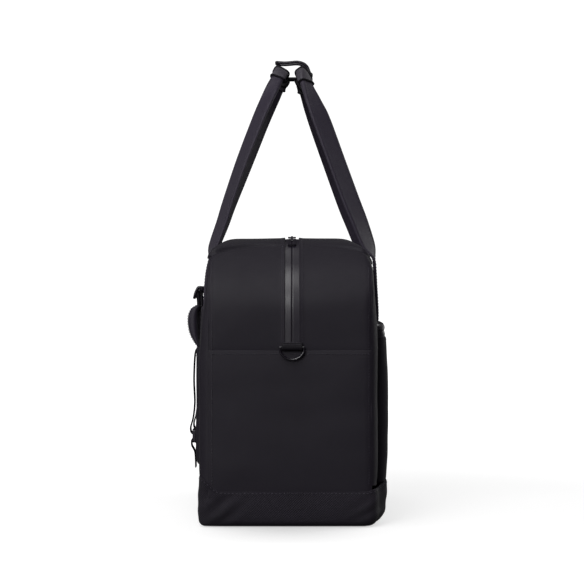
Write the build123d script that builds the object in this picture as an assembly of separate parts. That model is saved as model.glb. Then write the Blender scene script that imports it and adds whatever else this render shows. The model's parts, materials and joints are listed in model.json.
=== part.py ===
from build123d import *
import os

# Weekender bag. X runs along its length, -Y is the pocket side, +Y the strap side, Z is up.
# All sizes are in millimetres and the bag stands on Z = 0.

# body
HALF_LENGTH = 250.0
BODY_TOP = 352.0
SHOULDER_R = 102.0
FRONT_LOW = -104.0
FRONT_HIGH = -99.0
FRONT_BEND = 240.0
FRONT_LEAN_TOP = 300.0
BACK_LOW = 113.0
BACK_HIGH = 103.0
BACK_BEND = 214.0
BACK_LEAN_TOP = 305.0
TOP_BACK_R = 42.0
TOP_FRONT_R = 48.0
BOTTOM_BACK_R = 10.0
BOTTOM_FRONT_R = 16.0
END_BOTTOM_R = 12.0
CORNER_R = 16.0
WALL = 4.0

# seams
MID_SEAM = 214.0
BOOT_SEAM = 43.0
BOOT_SIDE = 59.0
BOOT_FRONT = 52.4
BULGE_X = 222.0
PANEL_FRONT = -97.0
PANEL_BACK = 101.0

# main zip and mouth
ZIP_HALF = 8.5
ZIP_SPLIT = 0.8
TAPE_RECESS = 2.0
TAPE = 0.8
COIL = 1.6
MOUTH_X = 118.0
MOUTH_Y = 50.0
FLAP_GAP = 0.4
SLIDER_NEAR_TILT = 17.0
SLIDER_FAR_X = -141.0
PULLER_LENGTH = 22.0

# end tabs and D-rings
TAB_WIDTH = 25.0
TAB_LOW = 213.0
TAB_HIGH = 223.0
RING_WIDTH = 32.0
RING_DROP = 16.4
RING_WIRE = 1.5
RING_SHOULDER = 4.0
RING_X = 253.6
RING_Z = 218.0

# handles
STRAP_X = 115.0
STRAP_WIDTH = 30.0
STRAP = 4.5
PATCH_TOP = 255.0
GRIP_HALF = 61.0
WRAP_HALF = 57.0
WRAP = 1.7

# front pocket
POCKET_FACE = -116.0
POCKET_X = 218.0
POCKET_TOP = 250.0
POCKET_WALL = 2.2
POCKET_ZIP_Z = 238.0
POCKET_SLIDER_X = 190.0

# back pocket and shoulder straps
STOW_X = 87.0
STOW_LOW = 60.0
STOW_FACE = 123.3
STOW_WALL = 2.0
STRAP_SPACING = 48.0
PAD_HALF = 27.0
WEB_WIDTH = 25.0
WEB = 1.4
HOOK_WIRE = 1.6
HOOK_Y = 116.0
HOOK_Z = 287.0
LOCK_Y = 127.0
LOCK_Z = 92.0


def slab(x0, x1, y0, y1, z0, z1):
    """A box between two corners."""
    middle = Pos((x0 + x1) / 2, (y0 + y1) / 2, (z0 + z1) / 2)
    return middle * Box(x1 - x0, y1 - y0, z1 - z0)


def rod(start, end, radius):
    """A round bar between two points."""
    a = Vector(*start)
    b = Vector(*end)
    return extrude(Plane(origin=a, z_dir=b - a) * Circle(radius), (b - a).length)


def bent_wire(points, radius):
    """A round wire through the points, with ball corners."""
    wire = rod(points[0], points[1], radius)
    for start, end in zip(points[1:-1], points[2:]):
        wire += Pos(*start) * Sphere(radius)
        wire += rod(start, end, radius)
    return wire


def yz_prism(points, x0, x1):
    """A profile drawn in Y and Z and run along X."""
    face = Plane.YZ * make_face(Polyline(*points, close=True))
    return Pos(x0, 0, 0) * extrude(face, x1 - x0)


def wall_y(z, side):
    """Where the outside of the back (+1) or front (-1) wall is at a height."""
    low, high = (BACK_LOW, BACK_HIGH) if side > 0 else (FRONT_LOW, FRONT_HIGH)
    bend, top = (BACK_BEND, BACK_LEAN_TOP) if side > 0 else (FRONT_BEND, FRONT_LEAN_TOP)
    part = min(max((z - bend) / (top - bend), 0.0), 1.0)
    return low + (high - low) * part


def side_prism(inset):
    """The bag seen from its long side, run right through."""
    face = Rectangle(2 * (HALF_LENGTH - inset), BODY_TOP - 2 * inset)
    rows = face.vertices().group_by(Axis.Y)
    face = fillet(rows[-1], SHOULDER_R - inset)
    face = fillet(face.vertices().group_by(Axis.Y)[0], END_BOTTOM_R - inset)
    return extrude(Plane.XZ * Pos(0, BODY_TOP / 2) * face, 200, both=True)


def end_prism(inset):
    """The bag seen from its end, run right through."""
    corners = [
        (FRONT_LOW, 0, BOTTOM_FRONT_R),
        (BACK_LOW, 0, BOTTOM_BACK_R),
        (BACK_LOW, BACK_BEND, 0),
        (BACK_HIGH, BACK_LEAN_TOP, 0),
        (BACK_HIGH, BODY_TOP, TOP_BACK_R),
        (FRONT_HIGH, BODY_TOP, TOP_FRONT_R),
        (FRONT_HIGH, FRONT_LEAN_TOP, 0),
        (FRONT_LOW, FRONT_BEND, 0),
    ]
    face = make_face(Polyline(*[(y, z) for y, z, r in corners], close=True))
    for y, z, r in corners:
        if r:
            face = fillet(face.vertices().sort_by_distance((y, z, 0))[0], r)
    if inset:
        face = offset(face, -inset)
    return extrude(Plane.YZ * face, 300, both=True)


def plan_prism(inset):
    """The bag seen from above, run right through."""
    face = Rectangle(2 * (HALF_LENGTH - inset), BACK_LOW - FRONT_LOW - 2 * inset)
    face = fillet(face.vertices(), CORNER_R - inset)
    return extrude(Pos(0, (BACK_LOW + FRONT_LOW) / 2) * face, 400)


def body_volume(inset):
    """The bag's outer form, drawn in by the inset."""
    return side_prism(inset) & end_prism(inset) & plan_prism(inset)


def below_boot_seam():
    """Everything under the seam of the coarse base, which climbs at the long sides."""
    points = [(-150, -10), (150, -10), (150, BOOT_SIDE), (BACK_LOW + 1, BOOT_SIDE),
              (PANEL_BACK, BOOT_SEAM), (PANEL_FRONT, BOOT_SEAM), (FRONT_LOW, BOOT_SEAM + 3),
              (POCKET_FACE, BOOT_FRONT), (-150, BOOT_FRONT)]
    return yz_prism(points, -300, 300)


def boot_bulge():
    """The belly of the boot, which stands out under the front pocket."""
    outside = [(-103, 1), (-107.5, 5), (-111.5, 14), (-113.8, 28), (-115.4, 50), (-115.4, 60), (-103, 60)]
    inside = [(-99.9, 7), (-104, 7), (-107.6, 15), (-109.8, 28), (-111.2, 45), (-99.9, 45)]
    plan = fillet(Rectangle(2 * BULGE_X, 240).vertices(), 11)
    outer = yz_prism(outside, -BULGE_X, BULGE_X) & extrude(Pos(0, 4.6) * plan, 100)
    return outer, yz_prism(inside, WALL - BULGE_X, BULGE_X - WALL)


def zip_band(side, inner, outer, top, bottom):
    """A strip of the main zip on one side of its middle, from end tab to end tab."""
    ring = side_prism(top) - side_prism(bottom)
    low, high = sorted((side * inner, side * outer))
    return ring & slab(-260, 260, low, high, MID_SEAM, 400)


def mouth_zone(side, gap):
    """The part of the top that lifts on one side of the main zip."""
    low, high = sorted((0.0, side * (MOUTH_Y - gap)))
    return slab(gap - MOUTH_X, MOUTH_X - gap, low, high, 330, 360)


def slider():
    """A zip slider on top of a tape at Z = 0 that runs along X."""
    body = slab(-7, 7, -4.5, 4.5, 0.4, 2.0)
    body = fillet(body.edges().filter_by(Axis.Z), 2.5)
    under = slab(-6, 6, -4, 4, -4.2, -2.8)
    under = fillet(under.edges().filter_by(Axis.Z), 2.0)
    crown = slab(-4, 4, -1.2, 1.2, 2.0, 5.4)
    crown = fillet(crown.edges().filter_by(Axis.Y).group_by(Axis.Z)[-1], 1.5)
    crown -= rod((0, -3, 3.7), (0, 3, 3.7), 1.2)
    return body + under + crown + slab(-2, 2, -0.5, 0.5, -2.8, 0.4)


def puller(direction):
    """The slider's open pull, hung in the crown and lying along X."""
    frame = slab(-1.2, PULLER_LENGTH - 1.2, -5, 5, 2.9, 4.5)
    frame = fillet(frame.edges().filter_by(Axis.Z), 2.0)
    slot = slab(1.2, PULLER_LENGTH - 4.0, -2.6, 2.6, 2, 6)
    slot = fillet(slot.edges().filter_by(Axis.Z), 1.0)
    frame -= slot
    frame -= slab(-2, 1.3, -2.6, 2.6, 2, 6)
    frame += rod((0, -4, 3.7), (0, 4, 3.7), 0.8)
    return frame if direction > 0 else Rot(0, 0, 180) * frame


def on_shoulder(piece):
    """Moves a piece made at X = 0 on a flat tape to its place on the near shoulder's curve."""
    piece = Pos(0, 0, SHOULDER_R - TAPE_RECESS) * piece
    return Pos(SHOULDER_R - HALF_LENGTH, 0, BODY_TOP - SHOULDER_R) * Rot(0, -SLIDER_NEAR_TILT, 0) * piece


def on_top(piece):
    """Moves a piece made at X = 0 on a flat tape to the middle of the bag's top."""
    return Pos(SLIDER_FAR_X, 0, BODY_TOP - TAPE_RECESS) * piece


def end_tab(end):
    """The folded webbing tab that ends the main zip and holds a D-ring."""
    x0, x1 = sorted((end * (HALF_LENGTH + 0.1), end * (HALF_LENGTH + 6.6)))
    tab = slab(x0, x1, -TAB_WIDTH / 2, TAB_WIDTH / 2, TAB_LOW, TAB_HIGH)
    tab = fillet(tab.faces().sort_by(Axis.X)[-1 if end > 0 else 0].edges().filter_by(Axis.Y), 2.5)
    return tab - rod((end * RING_X, -20, RING_Z), (end * RING_X, 20, RING_Z), RING_WIRE + 0.3)


def d_ring(end):
    """The D-ring that hangs under an end tab."""
    x = end * RING_X
    half = RING_WIDTH / 2 - RING_WIRE
    low = RING_Z - RING_DROP + RING_WIRE
    shoulder = RING_Z - RING_SHOULDER
    bow = Edge.make_three_point_arc((x, -half, shoulder), (x, 0, low), (x, half, shoulder))
    ring = sweep(Plane(origin=bow @ 0, z_dir=bow % 0) * Circle(RING_WIRE), path=bow)
    for side in (-1, 1):
        ring += rod((x, side * half, shoulder), (x, side * half, RING_Z), RING_WIRE)
        ring += Pos(x, side * half, shoulder) * Sphere(RING_WIRE)
        ring += Pos(x, side * half, RING_Z) * Sphere(RING_WIRE)
    return ring + rod((x, -half, RING_Z), (x, half, RING_Z), RING_WIRE)


# Each row is a point of a strap's near leg, from the bag up to the grip: X, Y, Z of its middle,
# the direction from its middle to its near edge, then its width and thickness.
BACK_LEG = [
    (-115, 110.6, 263, -1, 0, 0, 30, 4.5),
    (-115, 107.4, 292, -1, 0, 0, 30, 4.5),
    (-115, 106.2, 312, -1, 0, 0, 30, 4.5),
    (-115, 103.6, 329, -1, -0.08, 0, 30, 4.5),
    (-114, 98.8, 344, -1, -0.25, 0, 30, 4.5),
    (-112, 88.8, 376, -1, -0.34, 0, 30, 4.5),
    (-109, 80.5, 403, -1, -0.36, 0, 30, 4.5),
    (-100, 63.5, 455, -1, -0.42, 0, 30, 4.5),
    (-87, 44.5, 508, -1, -0.5, -0.1, 28, 4.8),
    (-74, 29, 545, -0.7, -0.9, -0.3, 21, 5.6),
    (-GRIP_HALF, 14, 567.5, 0, -0.87, -0.49, 14, 6.6),
    (0, 14, 567.5, 0, -0.87, -0.49, 14, 6.6),
]
FRONT_LEG = [
    (-115, -105, 263, -1, 0, 0, 30, 4.5),
    (-115, -102.8, 292, -1, 0, 0, 30, 4.5),
    (-115, -102.4, 310, -1, 0, 0, 30, 4.5),
    (-114, -96.5, 344, -1, 0.45, 0, 30, 4.5),
    (-112, -86, 376, -1, 0.65, 0, 30, 4.5),
    (-109, -75.5, 403, -1, 0.85, 0, 30, 4.5),
    (-100, -57, 455, -1, 0.9, 0, 30, 4.5),
    (-87, -38, 508, -1, 1.0, 0.2, 28, 5),
    (-74, -26, 542, -0.7, 0.9, 0.7, 23, 7),
    (-GRIP_HALF, -15, 563.5, 0, 0.55, 0.83, 17, 9.5),
    (0, -15, 563.5, 0, 0.55, 0.83, 17, 9.5),
]


def handle_strap(leg):
    """One webbing handle: two flat legs that turn and fold together into the grip."""
    rows = leg + [(-x, y, z, -a, b, c, w, t) for x, y, z, a, b, c, w, t in reversed(leg[:-1])]
    points = [Vector(*row[:3]) for row in rows]
    sections = []
    for i, row in enumerate(rows):
        along = points[min(i + 1, len(rows) - 1)] - points[max(i - 1, 0)]
        if abs(row[0]) == GRIP_HALF:
            along = Vector(1, 0, 0)
        along = along.normalized()
        across = Vector(*row[3:6])
        across = across - along * across.dot(along)
        sections.append(Plane(origin=points[i], x_dir=across, z_dir=along) * Rectangle(row[6], row[7]))
    return loft(sections, ruled=True)


def grip_band(leg, grow, half, strap):
    """A sleeve round the folded grip of a handle."""
    x, y, z, a, b, c, width, thick = leg[-1]
    plane = Plane(origin=(-half, y, z), x_dir=(0, b, c), z_dir=(1, 0, 0))
    outline = RectangleRounded(width + 2 * grow, thick + 2 * grow, min(grow + 1.2, 4.5))
    return extrude(plane * outline, 2 * half) - strap


def handle_patch(side, low):
    """The sewn-down feet of one handle on the bag's long wall."""
    bend = FRONT_BEND if side < 0 else MID_SEAM + 1
    heights = [low, bend, PATCH_TOP]
    points = [(wall_y(z, side), z) for z in heights]
    points += [(wall_y(z, side) + side * STRAP, z) for z in reversed(heights)]
    half = STRAP_WIDTH / 2
    return [yz_prism(points, x - half, x + half) for x in (-STRAP_X, STRAP_X)]


def handle_hook():
    """The bent wire hook that lies over both grips and turns on the front one."""
    profile = [(-27.5, 571), (-25.5, 579), (-21, 583), (14, 583), (21, 586)]
    loop = [(-14, y, z) for y, z in profile] + [(14, y, z) for y, z in reversed(profile)]
    wire = bent_wire(loop + [loop[0]], HOOK_WIRE)
    return wire + Pos(*loop[0]) * Sphere(HOOK_WIRE)


def hook_holder(strap_wrap):
    """The small loop on the front grip that the wire hook turns in."""
    block = slab(-11.5, 11.5, -30.2, -15, 564, 574)
    block = fillet(block.edges().filter_by(Axis.X).group_by(Axis.Y)[0], 2.2)
    block -= rod((-20, -27.5, 571), (20, -27.5, 571), HOOK_WIRE + 0.3)
    return block - strap_wrap


def keeper(strap_wrap):
    """The band round the back grip, with the tongue that fills the gap between the grips."""
    x, y, z, a, b, c, width, thick = BACK_LEG[-1]
    plane = Plane(origin=(-11, y, z), x_dir=(0, b, c), z_dir=(1, 0, 0))
    band = extrude(plane * RectangleRounded(width + 5.4, thick + 5.4, 3.6), 22)
    tongue = slab(-9, 9, -1.2, 8, 562.5, 566)
    tongue = fillet(tongue.edges().filter_by(Axis.X).group_by(Axis.Y)[0], 1.2)
    return band + tongue - strap_wrap


def front_pocket(patches, boot_zone):
    """The zipped pocket that stands out from the front wall."""
    pocket = slab(-POCKET_X, POCKET_X, POCKET_FACE, FRONT_LOW, 20, POCKET_TOP)
    pocket = fillet(pocket.edges().filter_by(Axis.Y).group_by(Axis.Z)[-1], 14)
    face = pocket.faces().sort_by(Axis.Y)[0]
    pocket = fillet(face.edges() - face.edges().group_by(Axis.Z)[0], 6) - boot_zone
    inner = slab(POCKET_WALL - POCKET_X, POCKET_X - POCKET_WALL, POCKET_FACE + POCKET_WALL, FRONT_LOW + 1,
                 BOOT_FRONT + POCKET_WALL, POCKET_TOP - POCKET_WALL)
    inner = fillet(inner.edges().filter_by(Axis.Y).group_by(Axis.Z)[-1], 12)
    face = inner.faces().sort_by(Axis.Y)[0]
    inner = fillet(face.edges() - face.edges().group_by(Axis.Z)[0], 4)
    mouth = slab(-205, 205, POCKET_FACE - 1, POCKET_FACE + 3,
                 POCKET_ZIP_Z - ZIP_HALF, POCKET_ZIP_Z + ZIP_HALF)
    return pocket - inner - mouth - patches


def pocket_tapes():
    """The two halves of the pocket's zip, upright behind its mouth."""
    outer = POCKET_FACE + 1.0
    parts = []
    for side in (-1, 1):
        for near, far, start, end in ((ZIP_SPLIT, ZIP_HALF, 0, TAPE), (ZIP_SPLIT, 2.6, TAPE, TAPE + COIL)):
            low, high = sorted((POCKET_ZIP_Z + side * near, POCKET_ZIP_Z + side * far))
            parts.append(slab(-205, 205, outer + start, outer + end, low, high))
    return [parts[0] + parts[1], parts[2] + parts[3]]


def on_pocket(piece):
    """Moves a piece made on a flat tape to the far end of the pocket's upright zip."""
    return Pos(POCKET_SLIDER_X, POCKET_FACE + 1.0, POCKET_ZIP_Z) * Rot(90, 0, 0) * piece


def stow_pocket():
    """The open-topped pocket on the back wall that takes the shoulder straps."""
    outer = slab(-STOW_X, STOW_X, BACK_LOW, STOW_FACE, STOW_LOW, MID_SEAM)
    outer = fillet(outer.edges().filter_by(Axis.Y).group_by(Axis.Z)[0], 12)
    inner = slab(STOW_WALL - STOW_X, STOW_X - STOW_WALL, BACK_LOW - 1, STOW_FACE - STOW_WALL,
                 STOW_LOW + STOW_WALL, MID_SEAM + 5)
    inner = fillet(inner.edges().filter_by(Axis.Y).group_by(Axis.Z)[0], 10)
    return outer - inner


def strap_anchor(x):
    """The folded webbing on the back wall that holds a shoulder strap's wire hook."""
    points = [(wall_y(278, 1) + 0.05, 278), (109.5, 280.5), (118.6, 283.5), (118.6, 290.5), (109, 293.5),
              (wall_y(296, 1) + 0.05, 296)]
    fold = yz_prism(points, x - 11, x + 11)
    return fold - rod((x - 20, HOOK_Y, HOOK_Z), (x + 20, HOOK_Y, HOOK_Z), HOOK_WIRE + 0.3)


def strap_hook(x):
    """The bent wire hook at the top of a shoulder strap."""
    profile = [(HOOK_Y, HOOK_Z), (118.5, 291.5), (123.5, 291.5), (130.7, 279), (133.3, 272)]
    loop = [(x - 13, y, z) for y, z in profile] + [(x + 13, y, z) for y, z in reversed(profile)]
    return bent_wire(loop + [loop[0]], HOOK_WIRE) + Pos(*loop[0]) * Sphere(HOOK_WIRE)


def shoulder_pad(x):
    """The padded strap, folded out at the top and tucked into the back pocket below."""
    bulge = Spline((121, 214.6), (131.2, 221), (135.2, 232), (136.4, 247), (133.6, 259), (125.5, 267.5))
    rest = Polyline((125.5, 267.5), (wall_y(267.5, 1) + 0.3, 267.5), (BACK_LOW + 0.3, MID_SEAM),
                    (BACK_LOW + 0.3, 150), (121, 150), (121, 214.6))
    face = Plane.YZ * make_face(bulge + rest)
    pad = Pos(x - PAD_HALF, 0, 0) * extrude(face, 2 * PAD_HALF)
    loop = trace(Polyline((122, 267.8), (122.5, 276), (121.6, 284)), WEB)
    return pad + Pos(x - 10, 0, 0) * extrude(Plane.YZ * loop, 20)


def strap_webbing(x):
    """The slack webbing from the padded strap down to its ladder lock."""
    route = Polyline((125.2, 213), (126.8, 196), (128, 170), (130.4, 140), (132.0, 118), (132.3, 106),
                     (130.5, 101.6), (124.6, 101.2))
    return Pos(x - WEB_WIDTH / 2, 0, 0) * extrude(Plane.YZ * trace(route, WEB), WEB_WIDTH)


def ladder_lock(x):
    """The moulded buckle that grips the webbing."""
    frame = slab(x - 16, x + 16, LOCK_Y - 1.8, LOCK_Y + 1.8, LOCK_Z - 2, LOCK_Z + 15)
    frame = fillet(frame.edges().filter_by(Axis.Y), 2.5)
    frame -= slab(x - 13.2, x + 13.2, 120, 133, LOCK_Z + 6.2, LOCK_Z + 12.2)
    frame -= slab(x - 13.2, x + 13.2, 120, 133, LOCK_Z + 1.4, LOCK_Z + 4.2)
    return frame


def strap_foot(x):
    """The doubled webbing tab that holds a ladder lock at the foot of the back wall."""
    loop = slab(x - 12, x + 12, LOCK_Y - 3.4, LOCK_Y + 3.4, LOCK_Z - 14, LOCK_Z + 3.4)
    loop -= slab(x - 20, x + 20, LOCK_Y - 2.4, LOCK_Y + 2.4, LOCK_Z - 2.6, LOCK_Z + 1.9)
    tail = yz_prism([(STOW_FACE + 0.1, 57), (STOW_FACE + 2.6, 57),
                     (LOCK_Y + 1.0, 79), (STOW_FACE + 0.1, 79)], x - 12, x + 12)
    return loop + tail


def save(name, *solids):
    """Writes one sub-part."""
    flat = [s for item in solids for s in (item if isinstance(item, list) else item.solids())]
    shape = flat[0] if len(flat) == 1 else Compound(children=flat)
    shape.label = name
    export_step(shape, "parts/" + name + ".step")


os.makedirs("parts", exist_ok=True)

shell = body_volume(0) - body_volume(WALL)
boot_zone = below_boot_seam()
bulge, hollow = boot_bulge()
boot = (shell + bulge - hollow) & boot_zone
upper = shell - boot_zone
strip = slab(-300, 300, PANEL_FRONT, PANEL_BACK, -10, 400)
long_walls = upper - strip
end_strip = upper & strip
low_ends = end_strip & slab(-300, 300, -150, 150, -10, MID_SEAM)
high_strip = end_strip & slab(-300, 300, -150, 150, MID_SEAM, 400)

save("base_boot", boot)
save("end_panel_near", low_ends & slab(-300, 0, -150, 150, 0, 400))
save("end_panel_far", low_ends & slab(0, 300, -150, 150, 0, 400))
save("front_panel", long_walls & slab(-300, 300, -150, 0, 0, 400))
save("back_panel", long_walls & slab(-300, 300, 0, 150, 0, 400))
save("base_board", body_volume(WALL + 0.1) & slab(-300, 300, -150, 150, 0, 7))

slider_way = slab(-300, 300, -10, 10, 210, 400)
lining = body_volume(WALL + 0.3) & slab(-300, 300, -150, 150, 7.3, 400)
lining -= body_volume(WALL + 1.1) & slab(-300, 300, -150, 150, 8.1, 400)
lining -= slab(-MOUTH_X - 3, MOUTH_X + 3, -MOUTH_Y - 2, MOUTH_Y + 2, 300, 400)
save("lining", lining - slider_way)

for side, name in ((1, "back"), (-1, "front")):
    low, high = sorted((side * ZIP_HALF, side * 150))
    half = high_strip & slab(-300, 300, low, high, 0, 400)
    save("gusset_" + name, half - mouth_zone(side, 0))
    save("flap_" + name, half & mouth_zone(side, FLAP_GAP))
    tape = zip_band(side, ZIP_SPLIT, ZIP_HALF, TAPE_RECESS, TAPE_RECESS + TAPE)
    save("zip_tape_" + name, tape - mouth_zone(side, 0))
    save("flap_tape_" + name, tape & mouth_zone(side, FLAP_GAP))
    coil = zip_band(side, ZIP_SPLIT, 2.6, TAPE_RECESS + TAPE, TAPE_RECESS + TAPE + COIL)
    save("zip_coil_" + name, coil - mouth_zone(side, 0))
    save("flap_coil_" + name, coil & mouth_zone(side, FLAP_GAP))

save("zip_slider_near", on_shoulder(slider()))
save("zip_puller_near", on_shoulder(puller(-1)))
save("zip_slider_far", on_top(slider()))
save("zip_puller_far", on_top(puller(1)))

for end, name in ((-1, "near"), (1, "far")):
    save("end_tab_" + name, end_tab(end))
    save("d_ring_" + name, d_ring(end))

back_strap = handle_strap(BACK_LEG)
front_strap = handle_strap(FRONT_LEG)
back_wrap = grip_band(BACK_LEG, WRAP, WRAP_HALF, back_strap)
front_wrap = grip_band(FRONT_LEG, WRAP + 0.4, WRAP_HALF, front_strap)
back_patch = handle_patch(1, MID_SEAM)
front_patch = handle_patch(-1, 205.0)
save("handle_strap_back", back_strap)
save("handle_strap_front", front_strap)
save("handle_wrap_back", back_wrap)
save("handle_wrap_front", front_wrap)
save("handle_patch_back", back_patch)
save("handle_patch_front", front_patch)
save("handle_hook", handle_hook())
save("hook_holder", hook_holder(front_wrap + front_strap))
save("handle_keeper", keeper(back_wrap + back_strap))

save("front_pocket", front_pocket(front_patch, boot_zone))
save("pocket_zip", pocket_tapes())
save("pocket_slider", on_pocket(slider()))
save("pocket_puller", on_pocket(puller(-1)))

save("stow_pocket", stow_pocket())
for x, name in ((-STRAP_SPACING, "near"), (STRAP_SPACING, "far")):
    save("strap_anchor_" + name, strap_anchor(x))
    save("strap_hook_" + name, strap_hook(x))
    save("shoulder_pad_" + name, shoulder_pad(x))
    save("strap_webbing_" + name, strap_webbing(x))
    save("ladder_lock_" + name, ladder_lock(x))
    save("strap_foot_" + name, strap_foot(x))
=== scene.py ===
import json
import math

import bpy
import numpy as np
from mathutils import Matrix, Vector


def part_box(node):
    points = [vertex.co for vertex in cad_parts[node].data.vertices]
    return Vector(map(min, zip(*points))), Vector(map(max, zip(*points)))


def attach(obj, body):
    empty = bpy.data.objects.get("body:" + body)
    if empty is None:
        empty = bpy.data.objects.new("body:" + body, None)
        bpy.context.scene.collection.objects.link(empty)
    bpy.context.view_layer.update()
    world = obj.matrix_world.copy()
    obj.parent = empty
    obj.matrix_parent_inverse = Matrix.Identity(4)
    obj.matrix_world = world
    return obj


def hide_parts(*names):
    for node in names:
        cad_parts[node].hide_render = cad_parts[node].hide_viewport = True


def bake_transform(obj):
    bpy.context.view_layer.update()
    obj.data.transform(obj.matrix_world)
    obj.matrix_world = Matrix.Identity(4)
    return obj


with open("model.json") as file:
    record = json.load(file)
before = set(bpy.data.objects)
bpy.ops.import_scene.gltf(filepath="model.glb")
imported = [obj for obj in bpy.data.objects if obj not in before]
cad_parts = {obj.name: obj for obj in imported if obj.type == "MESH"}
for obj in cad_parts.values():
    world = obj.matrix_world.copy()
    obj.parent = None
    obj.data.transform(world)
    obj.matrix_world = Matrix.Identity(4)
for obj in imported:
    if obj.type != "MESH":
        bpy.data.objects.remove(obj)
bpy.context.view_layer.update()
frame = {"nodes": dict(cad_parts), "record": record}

SCENE = bpy.context.scene
LINKS = SCENE.collection
X_AXIS, Y_AXIS, Z_AXIS = np.eye(3)
MIRROR = np.array([-1.0, 1, 1])

# ---- sizes, in metres
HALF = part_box("base_boot")[1].x
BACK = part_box("base_boot")[1].y
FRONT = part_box("front_panel")[0].y
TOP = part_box("gusset_back")[1].z
EDGE_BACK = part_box("gusset_back")[1].y
EDGE_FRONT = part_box("gusset_front")[0].y
MID_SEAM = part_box("gusset_back")[0].z
BACK_HIGH = 0.103  # the back and front walls lean in to here
FRONT_HIGH = -0.099
SHOULDER = 0.102  # radius of the bag's shoulders in side view
TOP_BACK_R, TOP_FRONT_R = 0.038, 0.046
FOOT_END_R, FOOT_BACK_R, FOOT_FRONT_R = 0.012, 0.010, 0.018
CORNER_R = 0.016
BLUR = 0.0016  # how softly the walls run into each other
WALL = TOP - SHOULDER  # lengths along the side outline: wall, shoulder, flat top
ARC = SHOULDER * math.pi / 2
FLAT = 2 * (HALF - SHOULDER)
TOTAL = 2 * WALL + 2 * ARC + FLAT
ZIP_EDGE = 0.0085  # the gusset's cloth ends here beside the zip
ZIP_SEWN = 0.0122  # and is stitched here
MOUTH_X = 0.150  # half the length and half the width of the cloth round the mouth
MOUTH_Y = 0.050
BOOT_LOW = 0.0425  # the boot's top edge at the ends, at the back and below the front pocket
BOOT_HIGH = 0.0605
BOOT_FRONT = 0.0535
BELLY_X = 0.226
CLOTH = 0.0013  # thickness of the shell's cloth
FILM = 0.0008  # thickness of the zips' film
LAP = 0.0005  # overlap of two panels in their seam
SEWN_IN = 0.0042  # from a seam to its topstitch
GRID = 0.004  # spacing of the panels' grids
SAG = 0.0035  # how far the top sags in its middle
LINING_IN = 0.0062
FLOOR_GAP = 0.0002  # the boot's cloth ends here


# ---- the bag's form
def ease(t):
    """Turns 0 to 1 into a smooth 0 to 1."""
    t = np.clip(t, 0, 1)
    return t * t * (3 - 2 * t)


def unit(v):
    return v / np.maximum(np.linalg.norm(v, axis=-1, keepdims=True), 1e-9)


def run_length(points):
    """Length along a line up to each of its points."""
    return np.concatenate([[0], np.cumsum(np.linalg.norm(np.diff(points, axis=0), axis=1))])


def rounded(u, v, r):
    """Distance outside a corner of two walls, each u and v beyond its wall, rounded to r."""
    return np.where((u > -r) & (v > -r), np.hypot(u + r, v + r) - r, np.maximum(u, v))


def form(p):
    """Signed distance to the bag's outer form, soft at its edges."""
    x, y, z = np.abs(p[..., 0]), p[..., 1], p[..., 2]
    back = y - (BACK + (BACK_HIGH - BACK) * ease((z - 0.19) / 0.13))
    front = (FRONT + (FRONT_HIGH - FRONT) * ease((z - 0.21) / 0.11)) - y
    end = x - HALF
    parts = [
        rounded(end, z - TOP, SHOULDER), rounded(end, -z, FOOT_END_R),
        rounded(back, z - TOP, TOP_BACK_R), rounded(front, z - TOP, TOP_FRONT_R),
        rounded(back, -z, FOOT_BACK_R), rounded(front, -z, FOOT_FRONT_R),
        rounded(end, back, CORNER_R), rounded(end, front, CORNER_R),
    ]
    high = np.max(parts, axis=0)
    return high + BLUR * np.log(sum(np.exp((q - high) / BLUR) for q in parts)) - BLUR * math.log(2)


def normal(p):
    """Outward direction of the form at each point."""
    step = 0.0008
    parts = []
    for axis in range(3):
        d = np.zeros(3)
        d[axis] = step
        parts.append(form(p + d) - form(p - d))
    return unit(np.stack(parts, -1))


def settle(p, d, level=0.0, out=0.012, deep=0.09):
    """Moves each point along its own direction d onto the form."""
    a = np.full(p.shape[:-1], -deep)
    b = np.full(p.shape[:-1], out)
    for _ in range(26):
        m = (a + b) / 2
        inside = form(p + d * m[..., None]) < level
        a = np.where(inside, m, a)
        b = np.where(inside, b, m)
    return p + d * ((a + b) / 2)[..., None]


def outline(s):
    """The side outline and its outward direction; s runs up the near end, over the top and down again."""
    s = np.asarray(s, float)
    a = (s - WALL) / SHOULDER
    b = (s - WALL - ARC - FLAT) / SHOULDER
    conditions = [s <= WALL, s <= WALL + ARC, s <= WALL + ARC + FLAT, s <= WALL + 2 * ARC + FLAT]
    x = np.select(conditions, [-HALF + 0 * s, -(HALF - SHOULDER) - SHOULDER * np.cos(a),
                               s - WALL - ARC - FLAT / 2, HALF - SHOULDER + SHOULDER * np.sin(b)], HALF)
    z = np.select(conditions, [s, TOP - SHOULDER + SHOULDER * np.sin(a), TOP + 0 * s,
                               TOP - SHOULDER + SHOULDER * np.cos(b)], TOTAL - s)
    nx = np.select(conditions, [-1 + 0 * s, -np.cos(a), 0 * s, np.sin(b)], 1.0)
    nz = np.select(conditions, [0 * s, np.sin(a), 1 + 0 * s, np.cos(b)], 0.0)
    return x, z, nx, nz


def s_at(x):
    """Where on the outline's flat top a place along the bag is."""
    return WALL + ARC + FLAT / 2 + x


def samples(a, b, step, edge=0.0015):
    """Even samples from a to b, closer together just inside both ends."""
    ends = edge * np.array([0, 0.05, 0.2, 0.45, 0.75, 1.0])
    sign = 1 if b > a else -1
    count = max(2, int(abs(b - a) / step))
    middle = np.linspace(a + sign * edge, b - sign * edge, count + 1)[1:-1]
    return np.concatenate([a + sign * ends, middle, (b - sign * ends)[::-1]])


RIPPLES = np.random.default_rng(7)
WAVES = [(RIPPLES.normal(size=3), RIPPLES.uniform(0, 6.28)) for _ in range(14)]


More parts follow.
